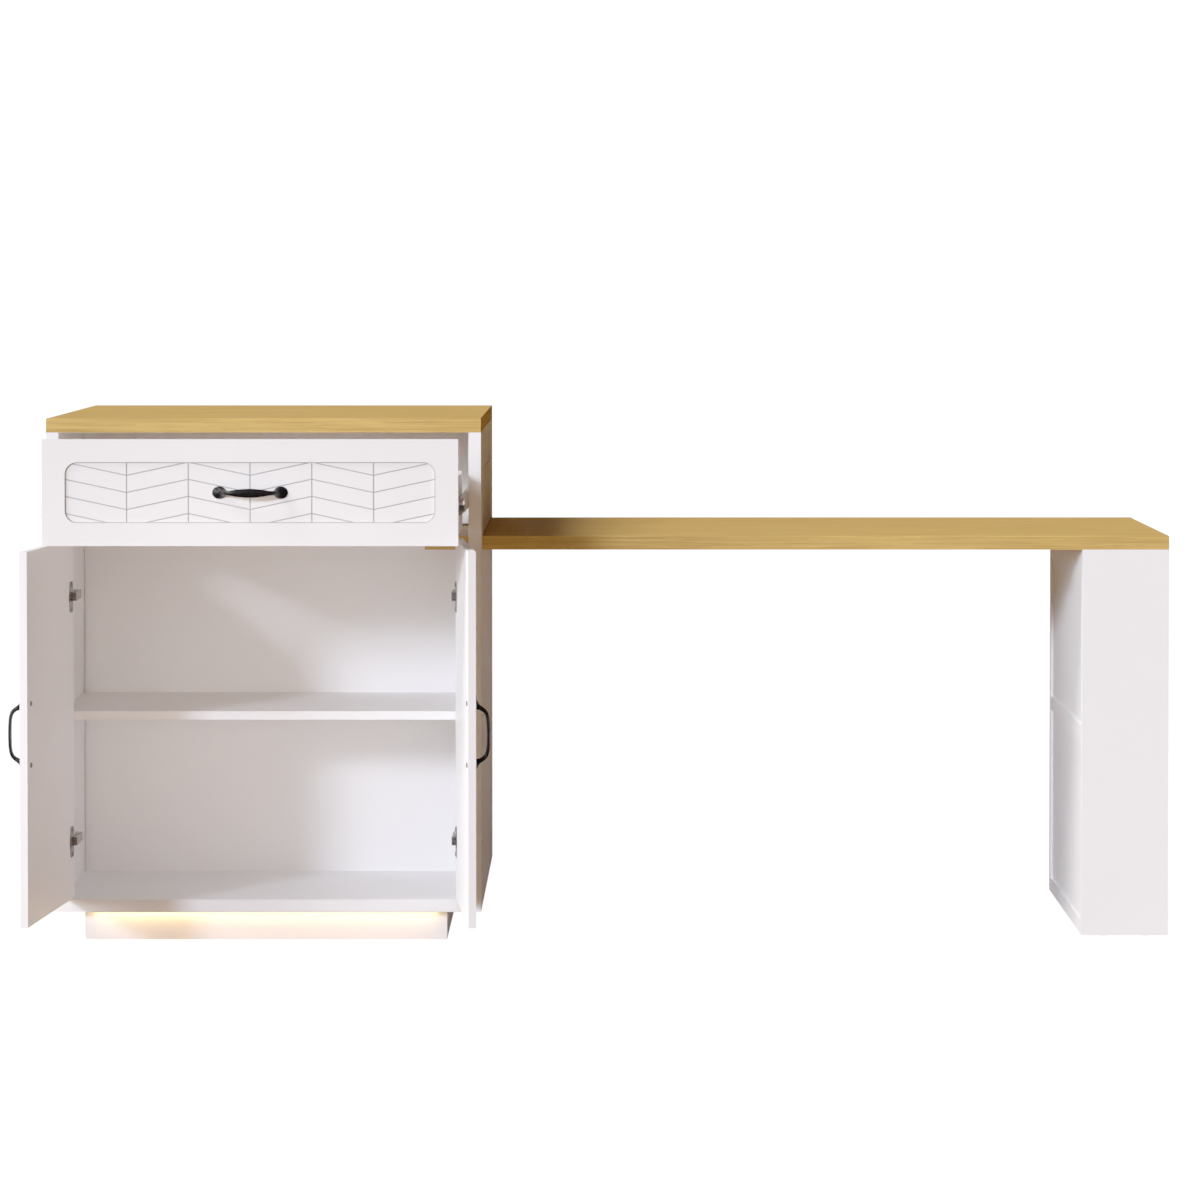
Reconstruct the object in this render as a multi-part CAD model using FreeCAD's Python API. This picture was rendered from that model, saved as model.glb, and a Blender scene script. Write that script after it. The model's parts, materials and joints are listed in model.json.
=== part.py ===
# Kitchen island: a two-sided cabinet with a drawer and a pair of doors in front, open shelves behind,
# and a long tabletop on a shelved leg that slides into the cabinet's right side.
# Millimetres. Origin on the floor under the cabinet's middle, +X towards the table, -Y towards the doors.
import FreeCAD, Part
import math
import os

Vector = FreeCAD.Vector
X_AXIS = Vector(1, 0, 0)
Y_AXIS = Vector(0, 1, 0)
Z_AXIS = Vector(0, 0, 1)
PARALLEL = 1e-6

# Cabinet
CABINET_WIDTH = 770.0
CABINET_DEPTH = 730.0
CABINET_HEIGHT = 932.0
TOP_THICKNESS = 25.0
TOP_EDGE_ROUND = 1.5
CARCASS_BOARD = 22.0
DIVIDER_THICKNESS = 6.0
DIVIDER_REBATE_WIDTH = 2.0
DIVIDER_REBATE_DEPTH = 3.5

# Plinth and its light
PLINTH_HEIGHT = 55.0
PLINTH_BOARD = 18.0
PLINTH_SIDE_SETBACK = 62.0
PLINTH_FRONT_SETBACK = 38.0
PLINTH_BEARER_WIDTH = 60.0
LIGHT_END_INSET = 20.0
LIGHT_WIDTH = 10.0
LIGHT_HEIGHT = 5.0
LIGHT_PLINTH_GAP = 1.0
LIGHT_WALL = 1.0
LIGHT_STRIP_THICKNESS = 1.2
DIFFUSER_THICKNESS = 1.4
BATTERY_LENGTH = 110.0
BATTERY_WIDTH = 60.0
BATTERY_HEIGHT = 22.0

# Grooved frame on the cabinet's outer sides
SIDE_STILE = 95.0
SIDE_RAIL = 70.0
SIDE_GROOVE_WIDTH = 4.0
SIDE_GROOVE_DEPTH = 3.0

# Shelves
SHELF_THICKNESS = 15.0
SHELF_HEIGHT = 410.0
SHELF_SETBACK = 22.0
SHELF_SIDE_GAP = 1.0
SHELF_PIN_DIAMETER = 5.0
SHELF_PIN_DEPTH = 9.0
SHELF_PIN_INSET = 60.0
SHELF_PIN_TAB = 8.0
REAR_SETBACK = 6.0

# Chevron fronts
FRAME_BORDER = 39.0
PANEL_RECESS = 3.0
PANEL_CORNER = 21.0
RIM_GROOVE_WIDTH = 1.6
GROOVE_WIDTH = 2.0
GROOVE_DEPTH = 1.8
CHEVRON_COLUMN = 106.0
CHEVRON_SLOPE = 0.2145
CHEVRON_PITCH = 29.2

# Drawer
DRAWER_FRONT_HEIGHT = 182.0
DRAWER_FRONT_THICKNESS = 15.0
DRAWER_TOP_GAP = 0.8
DRAWER_END_GAP = 8.0
DRAWER_OUT = 284.0
DRAWER_BOX_BOARD = 12.0
DRAWER_BOX_DROP = 70.0
DRAWER_BOX_LIFT = 12.0
DRAWER_REAR_GAP = 17.0
DRAWER_BOTTOM_THICKNESS = 6.0
DRAWER_BOTTOM_LIFT = 8.0
DRAWER_GROOVE_DEPTH = 6.0

# Telescopic drawer runners
RUNNER_WIDTH = 13.0
RUNNER_HEIGHT = 27.0
RUNNER_LIFT = 35.0
RUNNER_SHEET = 1.2
RUNNER_SETBACK = 3.0

# Doors
DOOR_THICKNESS = 13.0
DOOR_GAP = 3.0
DOOR_TOP_GAP = 6.5
DOOR_BOTTOM_GAP = 1.5
DOOR_OPEN_ANGLE = 95.5

# Concealed hinges
HINGE_END_INSET = 102.0
PIVOT_FROM_EDGE = 12.5
HINGE_PIN_DIAMETER = 3.0
HINGE_PIN_LENGTH = 28.0
KNUCKLE_DIAMETER = 6.0
CUP_DIAMETER = 35.0
CUP_FROM_EDGE = 20.5
CUP_SKIN = 1.0
CUP_WALL = 0.8
CUP_FLANGE_WIDTH = 25.0
CUP_FLANGE_HEIGHT = 55.0
CUP_FLANGE_THICKNESS = 1.2
CUP_SCREW_SPACING = 44.0
ARM_HEIGHT = 15.0
ARM_THICKNESS = 5.0
ARM_CRANK = 10.0
PLATE_SETBACK = 38.0
PLATE_LENGTH = 46.0
PLATE_HEIGHT = 54.0
PLATE_THICKNESS = 3.0
PLATE_SCREW_SPACING = 40.0
HINGE_SCREW_DIAMETER = 3.5
HINGE_SCREW_LENGTH = 11.0
HINGE_SCREW_HEAD = 7.0
HINGE_SCREW_HEAD_HEIGHT = 1.6

# Bow handles
HANDLE_FOOT_CENTRE = 52.5
HANDLE_FOOT_LENGTH = 24.4
HANDLE_FOOT_WIDTH = 21.6
HANDLE_PROJECTION = 25.6
HANDLE_GRIP_WIDTH = 15.6
HANDLE_GRIP_THICKNESS = 5.4
HANDLE_RING_POINTS = 12
HANDLE_EDGE_DISTANCE = 25.0
HANDLE_ABOVE_DOOR_CENTRE = 7.5
HANDLE_SCREW_DIAMETER = 4.0
HANDLE_SCREW_THREAD = 3.0
HANDLE_SCREW_HEAD = 8.0
HANDLE_SCREW_HEAD_HEIGHT = 2.4

# Sliding table
TABLE_THICKNESS = 25.0
TABLE_SETBACK = 80.0
TABLE_REACH = 1230.0
TABLE_HELD = 81.0
TABLE_TOP_GAP = 5.2
SLOT_GAP = 1.5
SLIDE_GAP = 0.3
GLIDE_THICKNESS = 2.0
GLIDE_MARGIN = 3.0
BEARER_WIDTH = 40.0
BEARER_HEIGHT = 50.0
STOP_LENGTH = 40.0
STOP_SIDE_GAP = 37.0
STOP_HEIGHT = 30.0
STOP_SETBACK = 25.0
STOP_GAP = 0.5

# Shelved leg
LEG_WIDTH = 155.0
LEG_BOARD = 22.0
LEG_FOOT_HEIGHT = 0.8
LEG_FOOT_DIAMETER = 18.0
LEG_RAIL_HEIGHT = 57.0
LEG_SHELF_HEIGHT = 376.0
LEG_SHELF_THICKNESS = 25.0
LEG_SHELF_SETBACK = 4.0
LEG_BACK_THICKNESS = 6.0
LEG_BACK_RECESS = 4.0
BRACKET_LEG = 40.0
BRACKET_WIDTH = 16.0
BRACKET_THICKNESS = 2.0
BRACKET_INSET = 40.0
BRACKET_HOLE_DISTANCE = 24.0
BRACKET_SCREW_DIAMETER = 4.0
BRACKET_SCREW_LENGTH = 14.0
BRACKET_SCREW_HEAD = 8.0
BRACKET_SCREW_HEAD_HEIGHT = 2.0

# Dowels between the boards of the carcass
DOWEL_DIAMETER = 8.0
DOWEL_LENGTH = 30.0
DOWEL_PITCH = 165.0
DOWEL_COUNT = 4

# Fits
HOLE_GAP = 0.05
RUNNER_GAP = 0.4
POCKET_GAP = 1.2

# Derived places
SIDE = CABINET_WIDTH / 2
FRONT = -CABINET_DEPTH / 2
REAR = CABINET_DEPTH / 2
WALL = SIDE - CARCASS_BOARD
FLOOR_BOARD_TOP = PLINTH_HEIGHT + CARCASS_BOARD
CEILING = CABINET_HEIGHT - TOP_THICKNESS
DIVIDER_FRONT = -DIVIDER_THICKNESS / 2
DIVIDER_REAR = DIVIDER_THICKNESS / 2

DRAWER_FRONT_TOP = CEILING - DRAWER_TOP_GAP
DRAWER_FRONT_BOTTOM = DRAWER_FRONT_TOP - DRAWER_FRONT_HEIGHT
DRAWER_FRONT_FACE = FRONT - DRAWER_OUT
DRAWER_FRONT_BACK = DRAWER_FRONT_FACE + DRAWER_FRONT_THICKNESS

TABLE_TOP = DRAWER_FRONT_BOTTOM - TABLE_TOP_GAP
TABLE_BOTTOM = TABLE_TOP - TABLE_THICKNESS
TABLE_HALF = REAR - TABLE_SETBACK
TABLE_INNER_END = WALL - TABLE_HELD
TABLE_END = SIDE + TABLE_REACH
GLIDE_TOP = TABLE_BOTTOM - SLIDE_GAP
SILL = GLIDE_TOP - GLIDE_THICKNESS
NICHE_FLOOR_BOTTOM = TABLE_TOP + TABLE_TOP_GAP
NICHE_FLOOR_TOP = NICHE_FLOOR_BOTTOM + SHELF_THICKNESS

DRAWER_SIDE = WALL - RUNNER_WIDTH
DRAWER_BOX_BOTTOM = DRAWER_FRONT_BOTTOM + DRAWER_BOX_LIFT
DRAWER_BOX_TOP = DRAWER_FRONT_TOP - DRAWER_BOX_DROP
DRAWER_BOX_REAR = DIVIDER_FRONT - DRAWER_REAR_GAP - DRAWER_OUT
RUNNER_CENTRE = DRAWER_BOX_BOTTOM + RUNNER_LIFT + RUNNER_HEIGHT / 2
RUNNER_FRONT = FRONT + DRAWER_FRONT_THICKNESS + RUNNER_SETBACK
RUNNER_REAR = DIVIDER_FRONT - DRAWER_REAR_GAP - RUNNER_SETBACK

DOOR_BOTTOM = FLOOR_BOARD_TOP + DOOR_BOTTOM_GAP
DOOR_TOP = DRAWER_FRONT_BOTTOM - DOOR_TOP_GAP
DOOR_HEIGHT = DOOR_TOP - DOOR_BOTTOM
# Half of the opening, less the gap at the hinge side and half of the gap between the doors
DOOR_WIDTH = WALL - DOOR_GAP - DOOR_GAP / 2
DOOR_HINGE_EDGE = -WALL + DOOR_GAP
DOOR_INNER_FACE = FRONT + DOOR_THICKNESS
PIVOT_X = DOOR_HINGE_EDGE + PIVOT_FROM_EDGE
HINGE_HEIGHTS = [DOOR_BOTTOM + HINGE_END_INSET, DOOR_TOP - HINGE_END_INSET]
CUP_FLOOR = FRONT + CUP_SKIN
PIVOT_Y = CUP_FLOOR + CUP_WALL + POCKET_GAP + KNUCKLE_DIAMETER / 2
CUP_X = DOOR_HINGE_EDGE + CUP_FROM_EDGE

LEG_START = TABLE_END - LEG_WIDTH
LEG_INNER = TABLE_HALF - LEG_BOARD


def box(x0, x1, y0, y1, z0, z1):
    """Block between two corners."""
    return Part.makeBox(x1 - x0, y1 - y0, z1 - z0, Vector(x0, y0, z0))


def rod(diameter, start, direction, length):
    """Round bar from a start point."""
    return Part.makeCylinder(diameter / 2, length, start, direction)


def screw(diameter, length, head_diameter, head_height, seat, direction):
    """Pan-head screw whose head sits on the seat and whose shank runs along the direction."""
    shank = rod(diameter, seat, direction, length)
    head = rod(head_diameter, seat - direction * head_height, direction, head_height)
    return shank.fuse(head).removeSplitter()


def edges_along(shape, axis):
    """The straight edges of a block that run along an axis."""
    return [e for e in shape.Edges if e.tangentAt(e.FirstParameter).cross(axis).Length < PARALLEL]


def eased_top(x0, x1, y0, y1, z0, z1):
    """Board whose upper edges are slightly rounded."""
    board = box(x0, x1, y0, y1, z0, z1)
    rim = [e for e in board.Edges if e.BoundBox.ZMin > (z0 + z1) / 2]
    return board.makeFillet(TOP_EDGE_ROUND, rim)


def prism(points, direction):
    """Closed outline carried straight along the direction."""
    outline = Part.makePolygon(points + [points[0]])
    return Part.Face(outline).extrude(direction)


def mirrored(shape):
    """Copy on the other side of the cabinet's middle."""
    return shape.mirror(Vector(0, 0, 0), X_AXIS)


def both_sides(shape):
    """The shape and its mirror image."""
    return [shape, mirrored(shape)]


def save(name, *solids):
    """Write one piece, or a group of like pieces."""
    shape = solids[0] if len(solids) == 1 else Part.makeCompound(list(solids))
    shape.exportStep("parts/" + name + ".step")


def round_window(width, height, depth, inset=0.0):
    """Rounded rectangle set in by the frame's border and an inset, as deep as asked, from the front face."""
    edge = FRAME_BORDER + inset
    window = box(edge, width - edge, 0, depth, edge, height - edge)
    return window.makeFillet(PANEL_CORNER - inset, edges_along(window, Y_AXIS))


def chevron_front(width, height, thickness):
    """Board with a recessed field of chevron grooves inside a fine routed line, its front face on y = 0, one corner
    at the origin."""
    field_width = width - 2 * FRAME_BORDER
    field_height = height - 2 * FRAME_BORDER
    columns = 2 * max(1, round(field_width / CHEVRON_COLUMN / 2))
    column = field_width / columns
    drop = CHEVRON_SLOPE * column
    floor = PANEL_RECESS + GROOVE_DEPTH
    stations = [FRAME_BORDER + i * column for i in range(columns + 1)]
    limit = round_window(width, height, floor)
    rim = limit.cut(round_window(width, height, floor, RIM_GROOVE_WIDTH))
    tools = [round_window(width, height, PANEL_RECESS), rim]
    for row in range(1 + int(field_height / CHEVRON_PITCH)):
        high = height - FRAME_BORDER - row * CHEVRON_PITCH
        line = [Vector(x, 0, high - drop * (i % 2)) for i, x in enumerate(stations)]
        upper = [p + Z_AXIS * (GROOVE_WIDTH / 2) for p in line]
        lower = [p - Z_AXIS * (GROOVE_WIDTH / 2) for p in line]
        tools.append(prism(upper + lower[::-1], Y_AXIS * floor).common(limit))
    for x in stations[1:-1]:
        x0 = x - GROOVE_WIDTH / 2
        tools.append(box(x0, x0 + GROOVE_WIDTH, 0, floor, FRAME_BORDER, height - FRAME_BORDER))
    return box(0, width, 0, thickness, 0, height).cut(tools)


def handle():
    """Bow handle lying along X, standing out along -Y from the face y = 0, with blind holes in its feet."""
    foot = HANDLE_FOOT_CENTRE
    half_foot = HANDLE_FOOT_LENGTH / 2
    half_pad = HANDLE_FOOT_WIDTH / 2
    half_grip = HANDLE_GRIP_WIDTH / 2
    half_bar = HANDLE_GRIP_THICKNESS / 2
    inner = foot - half_foot
    crown = HANDLE_PROJECTION - half_bar
    # along, out, half thickness, half width and lean of each section from the foot to the middle
    half = [
        (foot, 0.0, half_foot, half_pad, 0),
        (inner + 0.71 * half_foot, 0.10 * crown, 0.71 * half_foot, 0.80 * half_pad, 0),
        (inner + 0.47 * half_foot, 0.22 * crown, 0.47 * half_foot, 0.60 * half_pad, 4),
        (inner + 0.30 * half_foot, 0.40 * crown, 0.32 * half_foot, 0.60 * half_grip, 12),
        (1.015 * inner, 0.64 * crown, 1.26 * half_bar, 0.50 * half_grip, 30),
        (0.88 * inner, 0.84 * crown, 1.18 * half_bar, 0.54 * half_grip, 60),
        (0.645 * inner, 0.955 * crown, 1.04 * half_bar, 0.70 * half_grip, 80),
        (0.30 * inner, 0.992 * crown, half_bar, 0.93 * half_grip, 87),
    ]
    middle = [(0.0, crown, half_bar, half_grip, 90)]
    other = [(-along, out, thick, wide, 180 - lean) for along, out, thick, wide, lean in half[::-1]]
    sections = []
    for along, out, thick, wide, lean in half + middle + other:
        across = Vector(math.cos(math.radians(lean)), -math.sin(math.radians(lean)), 0)
        centre = Vector(along, -out, 0)
        turns = [2 * math.pi * i / HANDLE_RING_POINTS for i in range(HANDLE_RING_POINTS)]
        ring = [centre + across * (thick * math.cos(t)) + Z_AXIS * (wide * math.sin(t)) for t in turns]
        curve = Part.BSplineCurve()
        curve.interpolate(Points=ring, PeriodicFlag=True)
        sections.append(Part.Wire(curve.toShape()))
    bow = Part.makeLoft(sections, True, False)
    hole = HANDLE_SCREW_DIAMETER + 2 * HOLE_GAP
    holes = [rod(hole, Vector(x, 0, 0), -Y_AXIS, HANDLE_SCREW_THREAD) for x in (-foot, foot)]
    return bow.cut(holes)


def handle_screws(depth):
    """The two screws of a handle lying along X on y = 0, through a board of the given depth."""
    shank = depth + HANDLE_SCREW_THREAD
    head = HANDLE_SCREW_HEAD
    head_height = HANDLE_SCREW_HEAD_HEIGHT
    pair = []
    for x in (-HANDLE_FOOT_CENTRE, HANDLE_FOOT_CENTRE):
        seat = Vector(x, depth, 0)
        pair.append(screw(HANDLE_SCREW_DIAMETER, shank, head, head_height, seat, -Y_AXIS))
    return Part.makeCompound(pair)


def handle_holes(depth):
    """Clearance holes for a handle's screws, through a board of the given depth."""
    hole = HANDLE_SCREW_DIAMETER + 2 * HOLE_GAP
    places = (-HANDLE_FOOT_CENTRE, HANDLE_FOOT_CENTRE)
    return Part.makeCompound([rod(hole, Vector(x, 0, 0), Y_AXIS, depth) for x in places])


# Carcass


def dowel_rows():
    """Places of the dowels along each side panel, at the middle of its thickness."""
    x = SIDE - CARCASS_BOARD / 2
    first = -DOWEL_PITCH * (DOWEL_COUNT - 1) / 2
    along = [first + i * DOWEL_PITCH for i in range(DOWEL_COUNT)]
    return [(side * x, y) for side in (-1, 1) for y in along]


def dowels(diameter):
    """Dowels, or their holes, that tie the side panels to the bottom board and to the top."""
    bars = []
    for level in (FLOOR_BOARD_TOP, CEILING):
        for x, y in dowel_rows():
            bars.append(rod(diameter, Vector(x, y, level - DOWEL_LENGTH / 2), Z_AXIS, DOWEL_LENGTH))
    return bars


def shelf_pins(diameter):
    """Pins in the side panels under both shelves, with the tab that the shelf rests on."""
    front_row = [FRONT + SHELF_SETBACK + SHELF_PIN_INSET, DIVIDER_FRONT - SHELF_PIN_INSET]
    rear_row = [-y for y in front_row]
    top = SHELF_HEIGHT - SHELF_THICKNESS
    pins = []
    for y in front_row + rear_row:
        axis_height = top - SHELF_PIN_DIAMETER / 2
        stem = rod(diameter, Vector(WALL, y, axis_height), X_AXIS, SHELF_PIN_DEPTH)
        tab_half = SHELF_PIN_DIAMETER
        tab = box(WALL - SHELF_PIN_TAB, WALL, y - tab_half, y + tab_half, top - SHELF_PIN_DIAMETER, top)
        pins += both_sides(stem.fuse(tab).removeSplitter())
    return pins


def plate_screws(diameter, head):
    """Screws, or their holes, of the hinge plates on the left side panel."""
    y = FRONT + PLATE_SETBACK + PLATE_LENGTH / 2
    found = []
    for height in HINGE_HEIGHTS:
        for step in (-1, 1):
            seat = Vector(-WALL + PLATE_THICKNESS, y, height + step * PLATE_SCREW_SPACING / 2)
            found.append(screw(diameter, HINGE_SCREW_LENGTH, head, HINGE_SCREW_HEAD_HEIGHT, seat, -X_AXIS))
    return found


def side_panel():
    """Left side panel, with the grooved frame on its outer face and its holes."""
    panel = box(-SIDE, -WALL, FRONT, REAR, FLOOR_BOARD_TOP, CEILING)
    floor = -SIDE + SIDE_GROOVE_DEPTH
    y0, y1 = FRONT + SIDE_STILE, REAR - SIDE_STILE
    z0, z1 = FLOOR_BOARD_TOP + SIDE_RAIL, CEILING - SIDE_RAIL
    width = SIDE_GROOVE_WIDTH
    field = box(-SIDE, floor, y0 + width, y1 - width, z0 + width, z1 - width)
    groove = box(-SIDE, floor, y0, y1, z0, z1).cut(field)
    hole = HINGE_SCREW_DIAMETER + 2 * HOLE_GAP
    return panel.cut(
        [groove]
        + dowels(DOWEL_DIAMETER + 2 * HOLE_GAP)
        + shelf_pins(SHELF_PIN_DIAMETER + 2 * HOLE_GAP)
        + plate_screws(hole, hole))


def table_slot():
    """Opening in the right side panel that the tabletop slides through."""
    reach = TABLE_HALF + SLOT_GAP
    return box(WALL, SIDE, -reach, reach, SILL, TABLE_TOP + SLOT_GAP)


def make_carcass():
    """Boards, shelves, plinth and the parts that carry the table inside the cabinet."""
    holes = dowels(DOWEL_DIAMETER + 2 * HOLE_GAP)
    top = eased_top(-SIDE, SIDE, FRONT, REAR, CEILING, CABINET_HEIGHT)
    save("cabinet_top", top.cut(holes))
    save("bottom_board", box(-SIDE, SIDE, FRONT, REAR, PLINTH_HEIGHT, FLOOR_BOARD_TOP).cut(holes))
    panel = side_panel()
    save("left_side_panel", panel)
    save("right_side_panel", mirrored(panel).cut(table_slot()))
    save("carcass_dowels", *dowels(DOWEL_DIAMETER))

    plinth_side = SIDE - PLINTH_SIDE_SETBACK
    plinth_front = FRONT + PLINTH_FRONT_SETBACK
    plinth_inner = plinth_front + PLINTH_BOARD
    front_board = box(-plinth_side, plinth_side, plinth_front, plinth_inner, 0, PLINTH_HEIGHT)
    side_board = box(plinth_side - PLINTH_BOARD, plinth_side, plinth_inner, -plinth_inner, 0, PLINTH_HEIGHT)
    reach = plinth_side - PLINTH_BOARD
    half_bearer = PLINTH_BEARER_WIDTH / 2
    save("plinth_front", front_board)
    save("plinth_rear", front_board.mirror(Vector(0, 0, 0), Y_AXIS))
    save("plinth_sides", *both_sides(side_board))
    save("plinth_bearer", box(-reach, reach, -half_bearer, half_bearer, 0, PLINTH_HEIGHT))

    rebate_end = -WALL + DIVIDER_REBATE_WIDTH
    rebate_floor = DIVIDER_FRONT + DIVIDER_REBATE_DEPTH
    rebates = both_sides(box(-WALL, rebate_end, DIVIDER_FRONT, rebate_floor, FLOOR_BOARD_TOP, CEILING))
    lower = box(-WALL, WALL, DIVIDER_FRONT, DIVIDER_REAR, FLOOR_BOARD_TOP, SILL)
    upper = box(-WALL, WALL, DIVIDER_FRONT, DIVIDER_REAR, NICHE_FLOOR_TOP, CEILING)
    save("lower_divider", lower.cut(rebates))
    save("upper_divider", upper.cut(rebates))
    shelf_side = WALL - SHELF_SIDE_GAP
    shelf_bottom = SHELF_HEIGHT - SHELF_THICKNESS
    shelf = box(-shelf_side, shelf_side, FRONT + SHELF_SETBACK, DIVIDER_FRONT, shelf_bottom, SHELF_HEIGHT)
    save("front_shelf", shelf)
    save("rear_shelf", shelf.mirror(Vector(0, 0, 0), Y_AXIS))
    save("shelf_pins", *shelf_pins(SHELF_PIN_DIAMETER))
    niche_rear = REAR - REAR_SETBACK
    save("niche_floor", box(-WALL, WALL, DIVIDER_FRONT, niche_rear, NICHE_FLOOR_BOTTOM, NICHE_FLOOR_TOP))

    bearer_rear = DIVIDER_REAR + BEARER_WIDTH
    save("table_bearer", box(-WALL, WALL, DIVIDER_REAR, bearer_rear, SILL - BEARER_HEIGHT, SILL))
    glide_end = WALL - GLIDE_MARGIN
    glide_front = DIVIDER_REAR + GLIDE_MARGIN
    glide_rear = bearer_rear - GLIDE_MARGIN
    save("bearer_glide", box(-glide_end, glide_end, glide_front, glide_rear, SILL, GLIDE_TOP))
    sill_half = TABLE_HALF - GLIDE_MARGIN
    save("sill_glide", box(WALL + GLIDE_MARGIN, SIDE - GLIDE_MARGIN, -sill_half, sill_half, SILL, GLIDE_TOP))


def make_light():
    """Light under the bottom board in front of the plinth, and its battery box inside the plinth."""
    half = SIDE - PLINTH_SIDE_SETBACK - LIGHT_END_INSET
    rear = FRONT + PLINTH_FRONT_SETBACK - LIGHT_PLINTH_GAP
    front = rear - LIGHT_WIDTH
    bottom = PLINTH_HEIGHT - LIGHT_HEIGHT
    ceiling = PLINTH_HEIGHT - LIGHT_WALL
    cover_top = bottom + DIFFUSER_THICKNESS
    hollow = box(-half, half, front + LIGHT_WALL, rear - LIGHT_WALL, bottom, ceiling)
    save("light_channel", box(-half, half, front, rear, bottom, PLINTH_HEIGHT).cut(hollow))
    strip_bottom = ceiling - LIGHT_STRIP_THICKNESS
    save("light_strip", box(-half, half, front + LIGHT_WALL, rear - LIGHT_WALL, strip_bottom, ceiling))
    save("light_diffuser", box(-half, half, front + LIGHT_WALL, rear - LIGHT_WALL, bottom, cover_top))
    battery_front = FRONT + PLINTH_FRONT_SETBACK + PLINTH_BOARD
    battery_half = BATTERY_LENGTH / 2
    battery = box(
        -battery_half, battery_half,
        battery_front, battery_front + BATTERY_WIDTH,
        PLINTH_HEIGHT - BATTERY_HEIGHT, PLINTH_HEIGHT)
    save("light_battery_box", battery)


# Drawer and its runners


def channel(web_at, inner_edge, outer_half, front, rear):
    """C-shaped runner member on the right side: its web at one distance from the wall, flanges to another."""
    web_side = 1 if inner_edge > web_at else -1
    web_end = web_at + web_side * RUNNER_SHEET
    x_values = sorted([WALL - web_at, WALL - inner_edge])
    z0 = RUNNER_CENTRE - outer_half
    z1 = RUNNER_CENTRE + outer_half
    hollow_values = sorted([WALL - web_end, WALL - inner_edge])
    body = box(x_values[0], x_values[1], front, rear, z0, z1)
    hollow = box(hollow_values[0], hollow_values[1], front, rear, z0 + RUNNER_SHEET, z1 - RUNNER_SHEET)
    return body.cut(hollow)


def make_runners():
    """Three nested members on each side: the outer one on the cabinet, the inner one on the drawer."""
    outer_half = RUNNER_HEIGHT / 2
    middle_half = outer_half - RUNNER_SHEET - RUNNER_GAP
    inner_half = middle_half - RUNNER_SHEET - RUNNER_GAP
    middle_web = RUNNER_SHEET + RUNNER_GAP
    inner_edge = middle_web + RUNNER_SHEET + RUNNER_GAP
    flange_edge = RUNNER_WIDTH - RUNNER_SHEET - 2 * RUNNER_GAP
    members = [
        ("runner_outer_members", 0, flange_edge, outer_half, 0),
        ("runner_middle_members", middle_web, flange_edge, middle_half, DRAWER_OUT / 2),
        ("runner_inner_members", RUNNER_WIDTH, inner_edge, inner_half, DRAWER_OUT),
    ]
    for name, web_at, edge, half, out in members:
        front = RUNNER_FRONT - out
        member = channel(web_at, edge, half, front, RUNNER_REAR - out)
        save(name, *both_sides(member))


def make_drawer():
    """Drawer front with its handle, and the box behind it."""
    width = 2 * (WALL - DRAWER_END_GAP)
    middle = (DRAWER_FRONT_BOTTOM + DRAWER_FRONT_TOP) / 2
    corner = Vector(-width / 2, DRAWER_FRONT_FACE, DRAWER_FRONT_BOTTOM)
    seat = Vector(0, DRAWER_FRONT_FACE + PANEL_RECESS, middle)
    depth = DRAWER_FRONT_THICKNESS - PANEL_RECESS
    front = chevron_front(width, DRAWER_FRONT_HEIGHT, DRAWER_FRONT_THICKNESS).translated(corner)
    save("drawer_front", front.cut(handle_holes(depth).translated(seat)))
    save("drawer_handle", handle().translated(seat))
    save("drawer_handle_screws", handle_screws(depth).translated(seat))

    inside = DRAWER_SIDE - DRAWER_BOX_BOARD
    floor = DRAWER_BOX_BOTTOM + DRAWER_BOTTOM_LIFT
    floor_top = floor + DRAWER_BOTTOM_THICKNESS
    groove_side = inside + DRAWER_GROOVE_DEPTH
    side = box(inside, DRAWER_SIDE, DRAWER_FRONT_BACK, DRAWER_BOX_REAR, DRAWER_BOX_BOTTOM, DRAWER_BOX_TOP)
    side = side.cut(box(inside, groove_side, DRAWER_FRONT_BACK, DRAWER_BOX_REAR, floor, floor_top))
    save("drawer_right_side", side)
    save("drawer_left_side", mirrored(side))
    back_front = DRAWER_BOX_REAR - DRAWER_BOX_BOARD
    save("drawer_back", box(-inside, inside, back_front, DRAWER_BOX_REAR, floor_top, DRAWER_BOX_TOP))
    bottom = box(-groove_side, groove_side, DRAWER_FRONT_BACK, DRAWER_BOX_REAR, floor, floor_top)
    save("drawer_bottom", bottom)


# Doors and hinges, drawn closed on the left and then opened


def hinge_arm(height):
    """Cranked arm from the wall plate to a round head and the knuckle round the hinge pin."""
    z0 = height - ARM_HEIGHT / 2
    z1 = height + ARM_HEIGHT / 2
    half_knuckle = KNUCKLE_DIAMETER / 2
    near = PIVOT_X + ARM_CRANK
    far = near + ARM_THICKNESS
    block_front = FRONT + PLATE_SETBACK + ARM_THICKNESS
    block_rear = FRONT + PLATE_SETBACK + PLATE_LENGTH - ARM_THICKNESS
    knuckle = rod(KNUCKLE_DIAMETER, Vector(PIVOT_X, PIVOT_Y, z0), Z_AXIS, ARM_HEIGHT)
    head_start = Vector(far - ARM_HEIGHT / 2, PIVOT_Y - half_knuckle, height)
    head = rod(ARM_HEIGHT, head_start, Y_AXIS, KNUCKLE_DIAMETER)
    blade = box(near, far, PIVOT_Y - half_knuckle, block_rear, z0, z1)
    block = box(-WALL + PLATE_THICKNESS, far, block_front, block_rear, z0, z1)
    body = knuckle.fuse([head, blade, block]).removeSplitter()
    hole = HINGE_PIN_DIAMETER + 2 * HOLE_GAP
    return body.cut(rod(hole, Vector(PIVOT_X, PIVOT_Y, z0), Z_AXIS, ARM_HEIGHT))


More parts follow.
